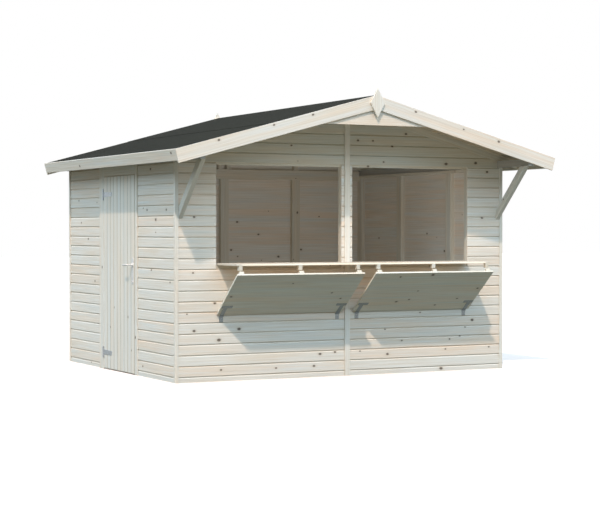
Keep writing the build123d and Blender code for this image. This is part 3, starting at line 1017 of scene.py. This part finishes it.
# Screws of the flap hinges: two up the root of each strap and one near each end of its head
flap_out = flap_up.cross(X)
for hand in ("left", "right"):
    axis_place = hinge_axes[f"{hand}_flap_hinge"]
    foot = Vector((0, axis_place.y, axis_place.z))
    root_end = axis_place.dot(flap_up) + flap_root_length
    for solid in cad_solids(f"{hand}_flap_straps"):
        low, high = corners(solid)
        root = [vert for vert in solid.verts if vert.co.dot(flap_up) < root_end]
        rest = [vert for vert in solid.verts if vert.co.dot(flap_up) > root_end]
        root_x = sum(span(root, X)) / 2
        face = span(rest, flap_out)[1] - axis_place.dot(flap_out)
        places = [(root_x, reach) for reach in flap_root_screws]
        places.append((low.x + flap_head_inset, flap_head_screw))
        places.append((high.x - flap_head_inset, flap_head_screw))
        for x, reach in places:
            place = foot + X * x + flap_up * reach + flap_out * face
            heads[f"{hand}_flap"].append(screw_head(place, flap_out))
plate_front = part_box("front_lower_left")[0].y - leaf_plate
for solid in cad_solids("flap_hinge_plates"):
    low, high = corners(solid)
    for shift, rise in wall_plate_screws:
        place = Vector(((low.x + high.x) / 2 + shift, plate_front, low.z + rise))
        heads["stall"].append(screw_head(place, -Y))
for body, solids in heads.items():
    new_piece(f"{body}_screws", solids, screw_material, body)

# Places of the door handle, from its CAD shape
plate_low, plate_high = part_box("door_handle")
leaf_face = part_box("door_leaf")[0].x
plate_face = leaf_face - leaf_plate
handle_shape = cad_solids("door_handle")[0]
plate_verts = [vert for vert in handle_shape.verts if vert.co.x > plate_face - 1e-4]
lever_verts = [vert for vert in handle_shape.verts if vert.co.x < plate_face - leaf_plate]
plate_sides = span(plate_verts, Y)
plate_half = (plate_sides[1] - plate_sides[0]) / 2
spindle = Vector((plate_face, sum(plate_sides) / 2, sum(span(lever_verts, Z)) / 2))
lever_x = span(lever_verts, X)[0] + lever_radius
lever_end = span(lever_verts, Y)[1]
lock = Vector((plate_face, spindle.y, plate_low.z + cylinder_rise))


def plate_ring(x, inset):
    """Outline of the long plate with its round ends, some way in from its edge."""
    outline = []
    for end, middle in ((1, plate_high.z - plate_half), (-1, plate_low.z + plate_half)):
        for step in range(plate_arc_steps + 1):
            angle = pi * step / plate_arc_steps
            y = spindle.y + end * cos(angle) * (plate_half - inset)
            outline.append(Vector((x, y, middle + end * sin(angle) * (plate_half - inset))))
    return outline


def lever_rings():
    """Rings along the lever, from the rose round the bend to its tapered tip. Its path
    is given as x, y and the share of the full thickness there."""
    path = [(x, spindle.y, lever_root_share) for x in (spindle.x, lever_x + lever_bend)]
    for step in range(1, lever_bend_steps + 1):
        angle = pi / 2 * step / lever_bend_steps
        x = lever_x + lever_bend * (1 - sin(angle))
        path.append((x, spindle.y + lever_bend * (1 - cos(angle)), lever_bend_share))
    path.append((lever_x, spindle.y + lever_full_at, 1.0))
    path += [(lever_x, lever_end - gap, share) for gap, share in lever_tip]
    turns = [2 * pi * j / lever_sides for j in range(lever_sides)]
    rings = []
    for i, (x, y, share) in enumerate(path):
        before, after = path[max(0, i - 1)], path[min(len(path) - 1, i + 1)]
        run = Vector((after[0] - before[0], after[1] - before[1], 0)).normalized()
        side = run.cross(Z) * lever_flatness
        middle = Vector((x, y, spindle.z))
        rings.append([
            middle + (side * cos(turn) + Z * sin(turn)) * lever_radius * share for turn in turns
        ])
    return rings


rose_profile = (
    (rose_radius, 0.0),
    (rose_radius, rose_height * 0.6),
    (rose_radius * 0.9, rose_height),
    (lever_radius * 1.3, rose_height),
)
cylinder_profile = (
    (cylinder_radius, 0.0),
    (cylinder_radius, cylinder_height - cylinder_bevel),
    (cylinder_radius * 0.8, cylinder_height),
    (cylinder_radius * 0.78, cylinder_height / 3),
)
core_profile = ((cylinder_radius * 0.8, core_low), (cylinder_radius * 0.76, core_high))
plate_steps = ((leaf_face, 0.0), (leaf_face - leaf_plate * 0.6, 0.0), (plate_face, plate_rim))
handle_solids = [
    loft([plate_ring(x, inset) for x, inset in plate_steps]),
    turned(rose_profile, spindle, -X),
    loft(lever_rings()),
    turned(cylinder_profile, lock, -X),
]
for z in (plate_high.z - plate_screw_top, plate_low.z + plate_screw_foot):
    handle_solids.append(screw_head(Vector((spindle.x, spindle.y, z)), -X))
dress("door_handle_set", handle_solids, "door_handle", handle_material)
# The lock's core is painted near black, the shade of its keyway.
new_piece("door_lock_core", [turned(core_profile, lock, -X)], keyway_shade_material, "door")

# Floor, pale to the camera and darker to the light that bounces off it
floor_nodes = Finish("pale_floor")
seen = floor_nodes.add("ShaderNodeLightPath").outputs["Is Camera Ray"]
floor_colour = floor_nodes.mix(seen, floor_lit, floor_seen)
floor_nodes.shade(Base_Color=floor_colour, Roughness=0.95, Specular_IOR_Level=0.0)
floor_mesh = bpy.data.meshes.new("floor")
floor_corners = [
    (x * floor_half, y * floor_half, 0) for x, y in ((-1, -1), (1, -1), (1, 1), (-1, 1))
]
floor_mesh.from_pydata(floor_corners, [], [(0, 1, 2, 3)])
floor_mesh.materials.append(floor_nodes.material)
floor = bpy.data.objects.new("floor", floor_mesh)
bpy.context.scene.collection.objects.link(floor)

# Sky that lights the stall by height and that the camera and reflections see as white
world = bpy.data.worlds.new("studio")
bpy.context.scene.world = world
world.use_nodes = True
sky = Nodes(world.node_tree)
rays = sky.add("ShaderNodeLightPath").outputs
plain = sky.math("MAXIMUM", rays["Is Camera Ray"], rays["Is Glossy Ray"])
plain = sky.math("MAXIMUM", plain, rays["Is Transmission Ray"])
height = sky.parts(sky.add("ShaderNodeTexCoord").outputs["Generated"])["Z"]
background = sky.tree.nodes["Background"]
sky.join(sky.ramp(height, sky_stops)["Color"], background.inputs["Color"])
background.inputs["Strength"].default_value = sky_strength
white = sky.add("ShaderNodeBackground")
white.inputs["Color"].default_value = (1, 1, 1, 1)
white.inputs["Strength"].default_value = 1.0
chooser = sky.add("ShaderNodeMixShader")
for socket, source in zip(chooser.inputs, (plain, background.outputs[0], white.outputs[0])):
    sky.join(source, socket)
sky.join(chooser.outputs[0], sky.tree.nodes["World Output"].inputs["Surface"])

# Key light
sun = bpy.data.lights.new("key", "SUN")
sun.energy = sun_strength
sun.color = sun_colour
sun.angle = sun_width
sun_object = bpy.data.objects.new("key", sun)
sun_object.rotation_euler = sun_travel.to_track_quat("-Z", "Y").to_euler()
bpy.context.scene.collection.objects.link(sun_object)


# Soft lamps for the light that bounces between the boards
def soft_lamp(name, place, turn, size, power, colour):
    """A rectangular lamp that lights surfaces but never shows itself."""
    lamp = bpy.data.lights.new(name, "AREA")
    lamp.shape = "RECTANGLE"
    lamp.size, lamp.size_y = size
    lamp.energy = power
    lamp.color = colour
    lamp_object = bpy.data.objects.new(name, lamp)
    lamp_object.location = place
    lamp_object.rotation_euler = turn
    lamp_object.visible_camera = False
    lamp_object.visible_glossy = False
    bpy.context.scene.collection.objects.link(lamp_object)


facing_room = (pi / 2, 0, 0)
facing_front = (pi / 2, 0, pi)
facing_up = (pi, 0, 0)
shelf_low, shelf_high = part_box("counter_shelf")
front_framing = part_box("end_wall_rails")[0].y
lamp_width = shelf_high.x - shelf_low.x - lamp_margin
fill_place = (0, front_framing + fill_gap, fill_height)
glow_place = (0, plate_front - glow_gap, shelf_low.z - glow_gap)
bounce_place = (0, plate_front - bounce_gap, shelf_low.z)
soft_lamp("room_fill", fill_place, facing_room, fill_size, fill_power, fill_colour)
soft_lamp(
    "shelf_glow", glow_place, facing_front, (lamp_width, glow_depth), glow_power, glow_colour
)
soft_lamp(
    "front_bounce", bounce_place, facing_up, (lamp_width, bounce_depth), bounce_power,
    bounce_colour,
)

# Camera
camera = bpy.data.cameras.new("camera")
camera.lens = camera_lens
camera.sensor_fit = "HORIZONTAL"
camera.clip_end = camera_reach
camera_object = bpy.data.objects.new("camera", camera)
camera_object.location = camera_place
camera_object.rotation_euler = (pi / 2 + camera_pitch, 0, camera_yaw)
bpy.context.scene.collection.objects.link(camera_object)
bpy.context.scene.camera = camera_object

bpy.context.scene.view_settings.view_transform = "Standard"
